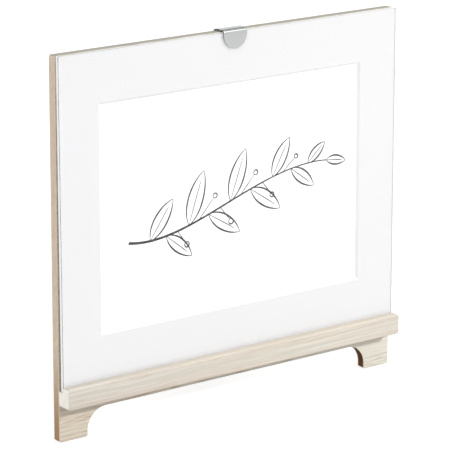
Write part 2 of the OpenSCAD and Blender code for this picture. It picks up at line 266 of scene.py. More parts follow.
def white_room():
    """White world that grows stronger evenly towards the backdrop. The softbox is added where a ray points
    to its front, and lies within its two sides and its two ends."""
    world = bpy.data.worlds.new("white_room")
    world.use_nodes = True
    tree = world.node_tree
    room = mapped(tree, ray_along(tree, TO_BACKDROP), -1.0, 1.0, WORLD_FRONT, WORLD_BACK, "LINEAR")
    softbox = mapped(tree, ray_along(tree, TO_SOFTBOX), 0.0, FRONT_FADE, 0.0, SOFTBOX_STRENGTH, "LINEAR")
    aside = ray_along(tree, BESIDE_SOFTBOX)
    upwards = ray_along(tree, UP)
    for value, edge, inside in (
            (aside, -SOFTBOX_HALF, SIDE_FADE - SOFTBOX_HALF),
            (aside, SOFTBOX_HALF, SOFTBOX_HALF - SIDE_FADE),
            (upwards, SOFTBOX_LOW, SOFTBOX_LOW + END_FADE),
            (upwards, SOFTBOX_HIGH, SOFTBOX_HIGH - END_FADE)):
        softbox = maths(tree, "MULTIPLY", softbox, mapped(tree, value, edge, inside, step="LINEAR"))
    background = tree.nodes["Background"]
    background.inputs["Color"].default_value = WHITE
    tree.links.new(maths(tree, "ADD", room, softbox), background.inputs["Strength"])
    return world


def turned_to(direction):
    """Matrix whose Z axis looks along a direction, with its X axis level."""
    back = np.asarray(direction, float) / np.linalg.norm(direction)
    side = np.cross(UP, back)
    side = side / np.linalg.norm(side)
    matrix = np.eye(4)
    matrix[:3, :3] = np.stack([side, np.cross(back, side), back], axis=1)
    return matrix


def add_lamp(name, strength):
    """Disc lamp that looks at the middle of the board. A disc's power is pi times its light on a sheet
    turned to it, times its distance squared."""
    lamp = bpy.data.objects.new(name, bpy.data.lights.new(name, "AREA"))
    lamp.data.shape = "DISK"
    lamp.data.size = 2 * LAMP_DISTANCE * math.tan(LAMP_ANGLE / 2)
    lamp.data.energy = strength * math.pi * LAMP_DISTANCE ** 2
    matrix = turned_to(np.array(TO_LAMP) @ board_axes)
    matrix[:3, 3] = on_board(LAMP_AIM) + LAMP_DISTANCE * matrix[:3, 2]
    lamp.matrix_world = matrix.T.tolist()
    scene.collection.objects.link(lamp)
    print(name, "at", np.round(matrix[:3, 3], 2))
    return lamp


scene.world = white_room()
add_lamp("lamp_for_all", LAMP_STRENGTH * LAMP_SHARE_OF_CLIP)
lamp_past_clip = add_lamp("lamp_past_clip", LAMP_STRENGTH * (1 - LAMP_SHARE_OF_CLIP))

# %% [markdown]
# ## Surfaces from rings
# Every new piece below is a stack of rings: a section carried along a line, or an outline carried through a
# thickness. One helper joins each ring to the next and closes the two ends, and turns the faces outwards by
# the sign of the volume inside. Another rounds the corners of an outline, because nothing that is cut or
# sanded has a perfectly sharp corner, and it is the rounds that catch the light.

# %% Helpers for shapes


def unit_rows(rows):
    """Each row of an array as a direction of length 1."""
    return rows / np.linalg.norm(rows, axis=1, keepdims=True)


def rounded_outline(corners, steps=6):
    """Closed outline with rounded corners, given as x, y and radius of each. A round starts where its circle
    touches one side, and turns about the circle's centre until it touches the next."""
    corners = np.array(corners, float)
    place = corners[:, :2]
    radius = corners[:, 2:]
    before = unit_rows(np.roll(place, 1, axis=0) - place)
    after = unit_rows(np.roll(place, -1, axis=0) - place)
    half = np.arccos(np.sum(before * after, axis=1, keepdims=True)) / 2
    centre = place + unit_rows(before + after) * radius / np.sin(half)
    start = place + before * radius / np.tan(half) - centre
    end = place + after * radius / np.tan(half) - centre
    sweep = np.arctan2(start[:, 0] * end[:, 1] - start[:, 1] * end[:, 0], np.sum(start * end, axis=1))
    turn = sweep[:, None] * np.linspace(0.0, 1.0, steps + 1)
    x = start[:, :1] * np.cos(turn) - start[:, 1:] * np.sin(turn)
    y = start[:, :1] * np.sin(turn) + start[:, 1:] * np.cos(turn)
    return (centre[:, None, :] + np.stack([x, y], axis=-1)).reshape(-1, 2)


def left_of(along):
    """Directions square to those given, on their left."""
    return np.stack([-along[:, 1], along[:, 0]], axis=1)


def inset(outline, amount):
    """Outline that runs anticlockwise, moved inwards along its own normals."""
    return outline + amount * left_of(unit_rows(np.roll(outline, -1, axis=0) - np.roll(outline, 1, axis=0)))


def skin(rings, endless=False):
    """Faces over a stack of rings. Each point joins its neighbour in the ring and its twin in the next ring.
    A flat face closes each end, or the last ring joins the first if the stack is endless."""
    count, around = rings.shape[:2]
    index = np.arange(count * around).reshape(count, around)
    ahead = np.roll(index, -1, axis=1)
    below = np.roll(index, -1, axis=0)
    beyond = np.roll(ahead, -1, axis=0)
    rows = count if endless else count - 1
    sides = np.stack([index, ahead, beyond, below], axis=-1)[:rows].reshape(-1, 4)
    ends = [] if endless else [index[0][::-1], index[-1]]
    fans = [np.stack([np.full(around - 2, end[0]), end[1:-1], end[2:]], axis=1) for end in ends]
    corners = rings.reshape(-1, 3)[np.concatenate([sides[:, :3], sides[:, [0, 2, 3]], *fans])]
    volume = np.sum(corners[:, 0] * np.cross(corners[:, 1], corners[:, 2]))
    order = 1 if volume > 0 else -1
    return sides[:, ::order].tolist() + [end[::order].tolist() for end in ends]


def add_mesh(name, points, faces, sharp_degrees=35.0):
    """Mesh object with its place in its points, smooth except at edges sharper than the angle given."""
    mesh = bpy.data.meshes.new(name)
    mesh.from_pydata(np.asarray(points, float).reshape(-1, 3).tolist(), [], faces)
    mesh.polygons.foreach_set("use_smooth", np.ones(len(mesh.polygons), bool))
    mesh.set_sharp_from_angle(angle=math.radians(sharp_degrees))
    mesh.update()
    made = bpy.data.objects.new(name, mesh)
    scene.collection.objects.link(made)
    return made


def dress(piece, body, materials, node=None):
    """Gives a piece its materials and its body, and hides the CAD node that it stands for."""
    if len(piece.data.materials):
        piece.data.materials.clear()
    for material in materials:
        piece.data.materials.append(material)
    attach(piece, body)
    if node:
        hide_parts(node)
    print(piece.name, "rides on", body, "with", len(piece.data.polygons), "faces")


sample = [(0.0, 0.0, 1.0), (4.0, 0.0, 1.0), (4.0, 4.0, 1.0), (0.0, 4.0, 1.0)]
print("a square with round corners has", len(rounded_outline(sample)), "points")

# %% [markdown]
# ## The floor
# A large sheet of white acrylic that glows, as on a light table, so that it stays white under the frame's
# shadow. It glows less for the light that it sends on to matt surfaces and for what the steel mirrors,
# because the real frame stood clear of any bright floor. It isn't part of the object.

# %% Floor
FLOOR_HALF = 30.0
GLOW = 0.72
GLOW_ON_MATT = 0.18
GLOW_IN_STEEL = 0.4

floor_corners = FLOOR_HALF * np.array([[-1, -1, 0], [1, -1, 0], [1, 1, 0], [-1, 1, 0]])
floor = add_mesh("floor", floor_corners, [[0, 1, 2, 3]])
floor_acrylic, tree, shader = new_material("floor_acrylic")
floor_tone = stretched_noise(tree, add_node(tree, "TexCoord").outputs["Object"], (3.0, 3.0, 3.0))
tree.links.new(
    mix_colours(tree, floor_tone, srgb(158, 158, 158), srgb(162, 162, 162)), shader.inputs["Base Color"])
shader.inputs["Roughness"].default_value = 0.6
shader.inputs["Emission Color"].default_value = WHITE
path = add_node(tree, "LightPath")
to_matt = mapped(tree, path.outputs["Is Diffuse Ray"], 0.0, 1.0, GLOW, GLOW_ON_MATT)
less_in_steel = mapped(tree, path.outputs["Is Glossy Ray"], 0.0, 1.0, 0.0, GLOW - GLOW_IN_STEEL)
tree.links.new(maths(tree, "SUBTRACT", to_matt, less_in_steel), shader.inputs["Emission Strength"])
floor.data.materials.append(floor_acrylic)
print("floor", 2 * FLOOR_HALF, "m wide")

# %% [markdown]
# ## Wood grain, once for every wooden piece
# The veneer, the ledge and the leg are pale wood with straight grain. On all three the grain is made of long
# fine streaks, broad bands of slightly different colour, and rows of short brown pores. The three are worked
# out in one node group from noise that is stretched along the grain, and each material mixes its own colours
# with them. A picture of wood would be the other way, but it would repeat, and couldn't turn with a piece.

# %% Grain group
# How fine each noise is along the grain and across it, in lines for each metre
WAVE_LINES = (9.0, 40.0, 40.0)
STREAK_LINES = (11.0, 900.0, 900.0)
BAND_LINES = (4.0, 130.0, 130.0)
DASH_LINES = (90.0, 2300.0, 2300.0)
ROW_LINES = (6.0, 330.0, 330.0)
# How far the slow wave moves the grain, in metres
WAVE_REACH = 0.0035


def grain_group():
    """Grain along X. Streaks, bands and rows are noises stretched along X, waved by a slow noise. A pore is
    where a straight dash, which is such a noise too, meets a row."""
    group = bpy.data.node_groups.new("straight_grain", "ShaderNodeTree")
    group.interface.new_socket("Vector", in_out="INPUT", socket_type="NodeSocketVector")
    for name in ("Streaks", "Bands", "Pores"):
        group.interface.new_socket(name, in_out="OUTPUT", socket_type="NodeSocketFloat")
    entry = group.nodes.new("NodeGroupInput").outputs["Vector"]
    wave = stretched_noise(group, entry, WAVE_LINES, 1.0)
    shift = maths(group, "MULTIPLY", maths(group, "SUBTRACT", wave, 0.5), WAVE_REACH)
    bend = add_node(group, "CombineXYZ", {"Y": shift, "Z": shift}).outputs[0]
    waved = add_node(group, "VectorMath", {0: entry, 1: bend}, operation="ADD").outputs[0]
    streaks = stretched_noise(group, waved, STREAK_LINES, 4.0, 0.6)
    bands = stretched_noise(group, waved, BAND_LINES, 2.0)
    dashes = stretched_noise(group, entry, DASH_LINES, 0.0)
    rows = stretched_noise(group, waved, ROW_LINES, 1.0)
    pores = maths(group, "MULTIPLY", mapped(group, dashes, 0.55, 0.66), mapped(group, rows, 0.42, 0.56))
    leave = group.nodes.new("NodeGroupOutput")
    group.links.new(mapped(group, streaks, 0.25, 0.75), leave.inputs["Streaks"])
    group.links.new(mapped(group, bands, 0.3, 0.7), leave.inputs["Bands"])
    group.links.new(pores, leave.inputs["Pores"])
    return group


straight_grain = grain_group()
print("group:", straight_grain.name)

# %% [markdown]
# A wooden piece also has edges. The sawn ends of the ledge and the cut edges of a veneer show another colour
# than the face, so each material is told where its edges are. The veneer and the ledge also carry a painted
# shade that makes them a little darker towards the left of the frame, away from the lamp.

# %% Wood
# How squarely a face looks along a direction when it starts to count as facing it, and when it fully does
ASLANT = 0.6
SQUARE = 0.85
# Between these places across the frame, in metres, the painted shade of the left end fades out
LEFT_TO_RIGHT = (-0.11, 0.04)
MOTTLE_LINES = (700.0, 700.0, 350.0)
MOTTLE_AMOUNT = 0.12
SATIN = (0.5, 0.62)
BUMP_DEPTH = 0.2 * MM


def wood_material(name, colours, edge_mask, turn=(0.0, 0.0, 0.0), pore_amount=0.6):
    """Pale wood with its grain along X after a turn, and a painted shade that fades out from its left end.
    The mask, a function of the tree, tells where the edge colour shows in place of the face, or the top
    colour on an edge that looks up along the board."""
    material, tree, shader = new_material(name)
    place = add_node(tree, "TexCoord").outputs["Object"]
    turned = add_node(tree, "Mapping", {"Vector": place, "Rotation": turn})
    grain = add_node(tree, "Group", {"Vector": turned.outputs[0]}, node_tree=straight_grain)
    streaked = mix_colours(tree, grain.outputs["Streaks"], colours["dark"], colours["light"])
    tint = mix_colours(tree, grain.outputs["Bands"], colours["warm"], colours["cool"])
    banded = mix_colours(tree, 1.0, streaked, tint, "MULTIPLY")
    # Painted shade: the colour under the key left darkens the wood towards its left end, away from the lamp
    from_left = mapped(tree, add_node(tree, "SeparateXYZ", {0: place}).outputs["X"], *LEFT_TO_RIGHT)
    painted_left_shade = mix_colours(tree, from_left, colours["left"], WHITE)
    tinted = mix_colours(tree, 1.0, banded, painted_left_shade, "MULTIPLY")
    pores = maths(tree, "MULTIPLY", grain.outputs["Pores"], pore_amount)
    face = mix_colours(tree, pores, tinted, colours["pore"])
    on_top = mapped(tree, facing(tree, board_axes[2]), ASLANT, SQUARE)
    clean = mix_colours(tree, on_top, colours["edge"], colours["top"])
    mottle = stretched_noise(tree, place, MOTTLE_LINES, 2.0)
    edge = mix_colours(tree, mapped(tree, mottle, 0.3, 0.7, 0.0, MOTTLE_AMOUNT), clean, colours["pore"])
    tree.links.new(mix_colours(tree, edge_mask(tree), face, edge), shader.inputs["Base Color"])
    tree.links.new(mapped(tree, grain.outputs["Streaks"], 0.0, 1.0, *SATIN), shader.inputs["Roughness"])
    roughen(tree, shader, maths(tree, "SUBTRACT", grain.outputs["Streaks"], pores), 0.12, BUMP_DEPTH)
    print("finish:", material.name)
    return material


# %% [markdown]
# ## The board
# A board of this kind is fine fibreboard with a thin slice of pale wood glued to each face. The veneer shows
# on the feet, with its grain across the board. The sides show the core: tan, a little browner towards the
# foot, and greyer along the top. Inside the arch the core is painted dark brown, as painted shade. The CAD
# solids have the true outline and the screw holes, so they keep their shape and only take a finish.

# %% Veneer and core
BOARD_BACK = board_axes[1]
BOARD_UP = board_axes[2]
ARCH_HALF = 97.4 * MM
ARCH_TOP = 16.1 * MM
ARCH_SHADE_FADE = 0.5 * MM
BROWN_BELOW = 60.0 * MM
FIBRE_LINES = (900.0, 900.0, 260.0)
FIBRE_AMOUNT = 0.35
# Colour of faces that look up along the board: greyer than the sides
GREY_TOP = srgb(153, 149, 139)


def core_material():
    """Tan that turns brown down the board, mottled by noise, grey on top, with dark brown painted shade
    inside the arch.
    """
    material, tree, shader = new_material("fibreboard")
    place = add_node(tree, "TexCoord").outputs["Object"]
    split = add_node(tree, "SeparateXYZ", {0: place})
    height = mapped(tree, split.outputs["Z"], 0.0, BROWN_BELOW)
    tan = mix_colours(tree, height, srgb(160, 126, 90), srgb(211, 194, 175))
    mottle = stretched_noise(tree, place, FIBRE_LINES, 3.0)
    fibres = mix_colours(tree, mapped(tree, mottle, 0.3, 0.75, 0.0, FIBRE_AMOUNT), tan, srgb(164, 143, 118))
    on_top = mapped(tree, facing(tree, BOARD_UP), ASLANT, SQUARE)
    topped = mix_colours(tree, on_top, fibres, GREY_TOP)
    from_middle = maths(tree, "ABSOLUTE", split.outputs["X"])
    # Painted shade: the core is painted dark brown inside the arch, where the underside of the board is in
    # shade
    beside = mapped(tree, from_middle, ARCH_HALF, ARCH_HALF - ARCH_SHADE_FADE)
    below = mapped(tree, split.outputs["Z"], ARCH_TOP, ARCH_TOP - ARCH_SHADE_FADE)
    arch_shade = maths(tree, "MULTIPLY", beside, below)
    arch_shade_colour = mix_colours(tree, mottle, srgb(62, 31, 8), srgb(100, 56, 22))
    tree.links.new(mix_colours(tree, arch_shade, topped, arch_shade_colour), shader.inputs["Base Color"])
    shader.inputs["Specular IOR Level"].default_value = 0.2
    tree.links.new(mapped(tree, mottle, 0.2, 0.8, 0.55, 0.75), shader.inputs["Roughness"])
    roughen(tree, shader, mottle, 0.15, BUMP_DEPTH)
    return material


veneer = wood_material(
    "veneer",
    {"light": srgb(221, 218, 209), "dark": srgb(197, 190, 178), "warm": srgb(255, 248, 244),
     "cool": srgb(253, 254, 250), "pore": srgb(128, 98, 68), "edge": srgb(212, 195, 174),
     "top": GREY_TOP, "left": srgb(239, 233, 227)},
    lambda tree: mapped(tree, facing(tree, BOARD_BACK), SQUARE, ASLANT), pore_amount=0.45)
fibreboard = core_material()
dress(nodes["front_veneer"], "frame", [veneer])
dress(nodes["back_veneer"], "frame", [veneer])
dress(nodes["board_core"], "frame", [fibreboard])

# %% [markdown]
# ## The ledge
# A bar of pale solid wood with a rebate for the picture. Its long front edges are rounded by sanding, its
# four front corners are rounded off, and its sawn ends show lighter end grain. It is drawn as one section
# carried across the board. Near each end the section is trimmed above and below to draw the rounded corners,
# and drawn in by a hair to break the sharp edge.

# %% Ledge
LEDGE_HALF = 115.2
LEDGE_LOW = 20.0
LEDGE_TOP = 32.0
LEDGE_FRONT = -9.2
LIP_BACK = -3.8
REBATE_FLOOR = 29.0
# Radii of the section's edges: along the front, against the board, in the rebate and behind the lip
FRONT_ROUND = 1.0
BOARD_ROUND = 0.25
REBATE_ROUND = 0.3
LIP_ROUND = 0.4
LEDGE_CORNER = 1.9
LEDGE_ARRIS = 0.15
END_GRAIN = srgb(243, 240, 231)
# Distance from each end where the plain stretch of the bar starts
PLAIN_FROM = 20.0
CORNER_STATIONS = 9


def fall_away(distance, radius):
    """How far a round of a radius has fallen back at a distance from its end. Past the radius it is 0."""
    left = np.clip(radius - distance, 0.0, radius)
    return radius - np.sqrt(radius ** 2 - left ** 2)


def ledge_rings():
    """L section at stations across the board, closer together near the ends, where the section shrinks."""
    section = rounded_outline([
        (LEDGE_FRONT, LEDGE_LOW, FRONT_ROUND), (0.0, LEDGE_LOW, BOARD_ROUND),
        (0.0, REBATE_FLOOR, BOARD_ROUND), (LIP_BACK, REBATE_FLOOR, REBATE_ROUND),
        (LIP_BACK, LEDGE_TOP, LIP_ROUND), (LEDGE_FRONT, LEDGE_TOP, FRONT_ROUND)])
    sweep = 1.0 - np.cos(np.linspace(0.0, math.pi / 2, CORNER_STATIONS))
    distance = np.append(np.union1d(LEDGE_ARRIS * sweep[::2], LEDGE_CORNER * sweep), PLAIN_FROM)
    x = np.concatenate([distance - LEDGE_HALF, (LEDGE_HALF - distance)[::-1]])
    distance = LEDGE_HALF - np.abs(x)
    trim = fall_away(distance, LEDGE_CORNER)
    drawn_in = np.stack([inset(section, amount) for amount in fall_away(distance, LEDGE_ARRIS)])
    z = np.clip(drawn_in[..., 1], (LEDGE_LOW + trim)[:, None], (LEDGE_TOP - trim)[:, None])
    return np.stack([np.broadcast_to(x[:, None], z.shape), drawn_in[..., 0], z], axis=-1)


rings = on_board(ledge_rings())
ledge_bar = add_mesh("ledge_bar", rings, skin(rings))
ledge_wood = wood_material(
    "ledge_wood",
    {"light": srgb(212, 209, 201), "dark": srgb(189, 185, 176), "warm": srgb(254, 246, 239),
     "cool": srgb(254, 253, 249), "pore": srgb(172, 144, 118), "edge": END_GRAIN, "top": END_GRAIN,
     "left": srgb(247, 245, 246)},
    lambda tree: mapped(tree, facing(tree, ACROSS), ASLANT, SQUARE), pore_amount=0.3)
dress(ledge_bar, "frame", [ledge_wood], "ledge")

# %% [markdown]
# ## The glass
# A pane of float glass with polished edges. The thin bevel along each edge, the arris, keeps it from cutting
# the hand. The pane is an outline with small round corners carried through the thickness, drawn in at both
# faces for the arris. The faces are clear, and the polished edge is a second material, because its fine
# scratches scatter a share of the light. Light has to reach the print behind, so the clear faces let shadow
# rays and scattered rays pass.

# %% Glass pane
GLASS_HALF = 114.3
GLASS_H = 181.95
PRINT_T = 0.15
MAT_T = 1.3
GLASS_T = 1.0
GLASS_CORNER = 0.6
ARRIS = 0.15
# Air between the glass and the mat
AIR = 0.02
GLASS_IOR = 1.5
# Share of its reflection that a coated face keeps
COATED = (0.15, 0.15, 0.16, 1.0)
# Share of the light that a polished edge scatters
EDGE_SCATTER = 0.25


def sheet_outline(half_w, low, high, radius):
    """Anticlockwise outline of an upright sheet, in X and Z."""
    return rounded_outline(
        [(-half_w, low, radius), (half_w, low, radius), (half_w, high, radius), (-half_w, high, radius)],
        steps=4)


def sheet_rings(outline, depths, insets):
    """Outline at several depths behind one another, drawn in by its inset at each."""
    drawn_in = np.stack([inset(outline, amount) for amount in insets])
    y = np.broadcast_to(np.array(depths)[:, None], drawn_in.shape[:2])
    return np.stack([drawn_in[..., 0], y, drawn_in[..., 1]], axis=-1)


def clear_glass(name, roughness):
    """Empty material whose shader passes all light, and its tree and shader."""
    material, tree, shader = new_material(name)
    shader.inputs["Base Color"].default_value = WHITE
    shader.inputs["Roughness"].default_value = roughness
    shader.inputs["IOR"].default_value = GLASS_IOR
    shader.inputs["Transmission Weight"].default_value = 1.0
    return material, tree, shader


def show_mixed(tree, amount, first, second):
    """Surface of a material mixed from two shaders by an amount from 0 to 1."""
    mixed = add_node(tree, "MixShader", {0: amount, 1: first.outputs[0], 2: second.outputs[0]})
    tree.links.new(mixed.outputs[0], tree.nodes["Material Output"].inputs["Surface"])


def glass_material():
    """Clear glass with a coat that takes most of the reflection away. Shadow rays and scattered rays pass it
    as if it weren't there."""
    material, tree, shader = clear_glass("pane_glass", 0.0)
    shader.inputs["Specular Tint"].default_value = COATED
    path = add_node(tree, "LightPath")
    passing = maths(tree, "MAXIMUM", path.outputs["Is Shadow Ray"], path.outputs["Is Diffuse Ray"])
    show_mixed(tree, passing, shader, add_node(tree, "BsdfTransparent"))
    return material


def edge_material():
    """Clear glass that scatters a share of the light on into the pane, as fine scratches do."""
    material, tree, shader = clear_glass("glass_edge", 0.05)
    through = add_node(tree, "BsdfTranslucent", {"Color": srgb(252, 254, 253)})
    show_mixed(tree, EDGE_SCATTER, shader, through)
    return material


glass_back = -(PRINT_T + MAT_T + AIR)
glass_front = -(PRINT_T + MAT_T + GLASS_T)
rings = on_picture(sheet_rings(
    sheet_outline(GLASS_HALF, -GLASS_H, 0.0, GLASS_CORNER),
    [glass_back, glass_back - ARRIS, glass_front + ARRIS, glass_front], [ARRIS, 0.0, 0.0, ARRIS]))
glass_sheet = add_mesh("glass_sheet", rings, skin(rings))
around = rings.shape[1]
# Back arris, edge and front arris, all round, and then the two faces
which = np.repeat([0, 1, 0, 0], [around, around, around, 2])
glass_sheet.data.polygons.foreach_set("material_index", which)
dress(glass_sheet, "picture", [glass_material(), edge_material()], "glass_pane")

# %% [markdown]
# ## The mat
# Off-white card with a window whose edge is cut at 45 degrees, so that the white core of the card shows as a
# fine bevel. Four rectangles, joined in a ring, make the whole card: its rim, its face, the bevel and its
# back. Rim and bevel show the core. The bevel is painted a little greyer than the rim, as painted shade,
# and draws a fine line round the window.

# %% Mat
WINDOW_HALF = 89.0
WINDOW_LOW = 27.0 - GLASS_H
WINDOW_HIGH = 154.0 - GLASS_H
# The mat and the print are cut a hair shorter than the glass
SHEET_TOP = -0.25
SHEET_LINES = (900.0, 900.0, 900.0)
TOOTH_DEPTH = 0.1 * MM


def sheet_material(name, light, dark, roughness, tooth):
    """Paper, card or ink: two close tones mixed by fine noise, which is also a faint tooth."""
    material, tree, shader = new_material(name)
    place = add_node(tree, "TexCoord").outputs["Object"]
    fibre = stretched_noise(tree, place, SHEET_LINES, 4.0, 0.6)
    tree.links.new(mix_colours(tree, fibre, dark, light), shader.inputs["Base Color"])
    shader.inputs["Roughness"].default_value = roughness
    roughen(tree, shader, fibre, tooth, TOOTH_DEPTH)
    return material


def rectangle(half_w, low, high, depth):
    """Four corners of an upright rectangle, anticlockwise from the front."""
    return [(-half_w, depth, low), (half_w, depth, low), (half_w, depth, high), (-half_w, depth, high)]


mat_back = -PRINT_T
mat_front = mat_back - MAT_T
rings = on_picture([
    rectangle(GLASS_HALF, -GLASS_H, SHEET_TOP, mat_back),
    rectangle(GLASS_HALF, -GLASS_H, SHEET_TOP, mat_front),
    rectangle(WINDOW_HALF, WINDOW_LOW, WINDOW_HIGH, mat_front),
    rectangle(WINDOW_HALF - MAT_T, WINDOW_LOW + MAT_T, WINDOW_HIGH - MAT_T, mat_back)])
mat_sheet = add_mesh("mat_sheet", rings, skin(rings, endless=True))
# Rim, face, bevel and back, each with four sides
mat_sheet.data.polygons.foreach_set("material_index", np.repeat([1, 0, 2, 0], 4))
mat_card = sheet_material("mat_card", srgb(217, 217, 218), srgb(214, 214, 215), 0.85, 0.1)
mat_rim = sheet_material("mat_rim", srgb(255, 255, 254), srgb(253, 253, 251), 0.9, 0.1)
# The bevel is the white core painted greyer, as painted shade
mat_bevel_painted_shade = sheet_material("mat_bevel_painted_shade", srgb(236, 236, 235), srgb(233, 233, 232), 0.9, 0.1)
dress(mat_sheet, "picture", [mat_card, mat_rim, mat_bevel_painted_shade], "mat_board")

# %% [markdown]
# ## The print
# A sheet of white paper, as large as the mat. It is drawn as a thin slab with sharp edges, because paper is
# too thin for a bevel to show.

# %% Paper
rings = on_picture([
    rectangle(GLASS_HALF, -GLASS_H, SHEET_TOP, 0.0),
    rectangle(GLASS_HALF, -GLASS_H, SHEET_TOP, -PRINT_T)])
paper_sheet = add_mesh("paper_sheet", rings, skin(rings))
print_paper = sheet_material("print_paper", srgb(255, 255, 255), srgb(253, 253, 253), 0.75, 0.05)
dress(paper_sheet, "picture", [print_paper], "print_sheet")

# %% [markdown]
# A line drawing of a leafy sprig is printed in black in the middle of the window. It is made of strokes. A
# stroke is a curve with a pen width that swells and thins along it, and its ink lies on the paper as a flat
# lens: pointed at both sides and a few hundredths of a millimetre thick. The stem is one long curve. A leaf
# is two arcs between the same two points and a midrib, and a bud is a small ring on a stalk. All of them are
# placed by a few numbers along the stem.

# %% Drawing
INK_RISE = 0.025
INK_SINK = 0.01
SPRIG_Z = (WINDOW_LOW + WINDOW_HIGH) / 2
# Points along each kind of stroke
STEM_POINTS = 121
ROUND_POINTS = 25
RIB_POINTS = 17
STALK_POINTS = 9


def bezier(first, second, third, fourth, count):
    """Cubic curve: four points mixed by the weights of a cube of (1 - t) + t."""
    t = np.linspace(0.0, 1.0, count)[:, None]
    weights = [(1 - t) ** 3, 3 * t * (1 - t) ** 2, 3 * t ** 2 * (1 - t), t ** 3]
    return sum(weight * np.array(point) for weight, point in zip(weights, (first, second, third, fourth)))


def ink_rings(line, width):
    """Lens section along a line: left edge, top, right edge and underside at each point of the line."""
    left = left_of(unit_rows(np.gradient(line, axis=0))) * np.asarray(width)[:, None] / 2
    flat = np.stack([line + left, line, line - left, line], axis=1)
    depth = np.broadcast_to(-PRINT_T + np.array([0.0, -INK_RISE, 0.0, INK_SINK]), flat.shape[:2])
    return np.stack([flat[..., 0], depth, flat[..., 1]], axis=-1)


def swell(count, thin, thick):
    """Pen width along a stroke: thin at both ends and thick in the middle, as half a sine wave."""
    return thin + (thick - thin) * np.sin(np.linspace(0.0, math.pi, count))


def leaf(root, angle, length, width):
    """Three strokes of a leaf: its two sides, which bulge by about half its width between a quarter and
    three quarters of its length, and a midrib that stops short of the tip."""
    along = np.array([math.cos(angle), math.sin(angle)])
    out = np.array([-along[1], along[0]])
    tip = root + along * length
    low = root + along * length * 0.25
    high = root + along * length * 0.75
    sides = [
        bezier(root, low + out * width * bulge, high + out * width * bulge * 0.8, tip, ROUND_POINTS)
        for bulge in (0.75, -0.65)]
    rib = bezier(root, low, high + out * width * 0.05, root + along * length * 0.82, RIB_POINTS)
    return [(side, swell(ROUND_POINTS, 0.4, 1.1)) for side in sides] + [(rib, swell(RIB_POINTS, 0.3, 0.6))]


def bud(root, angle, stalk, radius):
    """Two strokes of a bud: a stalk and a ring at its end."""
    along = np.array([math.cos(angle), math.sin(angle)])
    end = root + along * stalk
    turn = np.linspace(0.0, 2 * math.pi, ROUND_POINTS) + angle + math.pi
    ring = end + along * radius + radius * np.stack([np.cos(turn), np.sin(turn)], axis=1)
    line = root + np.linspace(0.0, 1.0, STALK_POINTS)[:, None] * along * stalk
    return [(line, swell(STALK_POINTS, 0.4, 0.6)), (ring, swell(ROUND_POINTS, 0.5, 0.9))]


stem = bezier((-70.0, -16.0), (-30.0, -24.0), (18.0, 14.0), (66.0, 10.0), STEM_POINTS)
stem_angle = np.arctan2(np.gradient(stem[:, 1]), np.gradient(stem[:, 0]))
strokes = [(stem, np.linspace(1.6, 0.7, STEM_POINTS))]
# Place along the stem, side, opening in degrees, length and width of each leaf
for at, side, opening, length, width in (
        (14, 1, 52, 26, 9.0), (24, -1, 48, 22, 8.0), (38, 1, 55, 31, 10.5), (50, -1, 50, 25, 9.0),
        (63, 1, 50, 30, 10.0), (75, -1, 52, 25, 9.0), (88, 1, 46, 24, 8.5), (99, -1, 46, 20, 7.5),
        (109, 1, 38, 16, 6.0), (120, -1, 4, 14, 5.5)):
    strokes += leaf(stem[at], stem_angle[at] + side * math.radians(opening), length, width)
# Place along the stem, side, opening in degrees, stalk and radius of each bud
for at, side, opening, stalk, radius in (
        (31, -1, 66, 9, 1.5), (44, 1, 30, 15, 1.4), (57, -1, 70, 10, 1.6), (69, 1, 28, 14, 1.4),
        (82, -1, 66, 9, 1.4), (94, 1, 28, 11, 1.2)):
    strokes += bud(stem[at], stem_angle[at] + side * math.radians(opening), stalk, radius)

points = []
faces = []
for line, width in strokes:
    rings = on_picture(ink_rings(line, width) + np.array([0.0, 0.0, SPRIG_Z]))
    faces += (np.array(skin(rings)) + len(points)).tolist()
    points += rings.reshape(-1, 3).tolist()
sprig_drawing = add_mesh("sprig_drawing", points, faces)
ink = sheet_material("ink", srgb(34, 34, 36), srgb(24, 24, 26), 0.6, 0.02)
dress(sprig_drawing, "picture", [ink])

# %% [markdown]
# ## The clip
# One strip of polished spring steel. A half round tongue lies on the glass, rolls back over its top edge,
# dips into a small valley, bows over the board and runs down behind it. It is drawn as a thin section with
# soft edges, carried along that bent line. The section narrows along the half round end of the tongue, and
# at the two rounded corners of the leg behind.

# %% Spring clip
CLIP_HALF = 8.0
CLIP_T = 0.5
CLIP_EDGE = 0.12
CLIP_GAP = 0.05
CLIP_LEG = 14.0
CLIP_LEG_CORNER = 3.0
BOARD_T = 5.5
TONGUE_STRAIGHT = 1.6
ROLL_R = 0.6
VALLEY_R = 0.6
BACK_R = 0.5
# How steeply the strip falls into the valley and rises out of it
FALL = math.radians(50.0)
RISE = math.radians(24.0)
# The round end of the tongue starts this far round its circle, because a tip of no width has no section
TIP_ANGLE = 0.03
TIP_POINTS = 25
LEG_CORNER_POINTS = 9
# A ring this far below the roll, and points this far in from the edges, keep the shading of the tongue flat
FLAT_BELOW_ROLL = 0.06
FLAT_FROM_EDGE = 0.12
# The strip is drawn a hair thinner than the solid
HAIR = 0.001


def arc(centre, radius, first, last, steps):
    """Points round an arc, from one angle to another."""
    turn = np.linspace(first, last, steps + 1)
    return np.array(centre) + radius * np.stack([np.cos(turn), np.sin(turn)], axis=1)


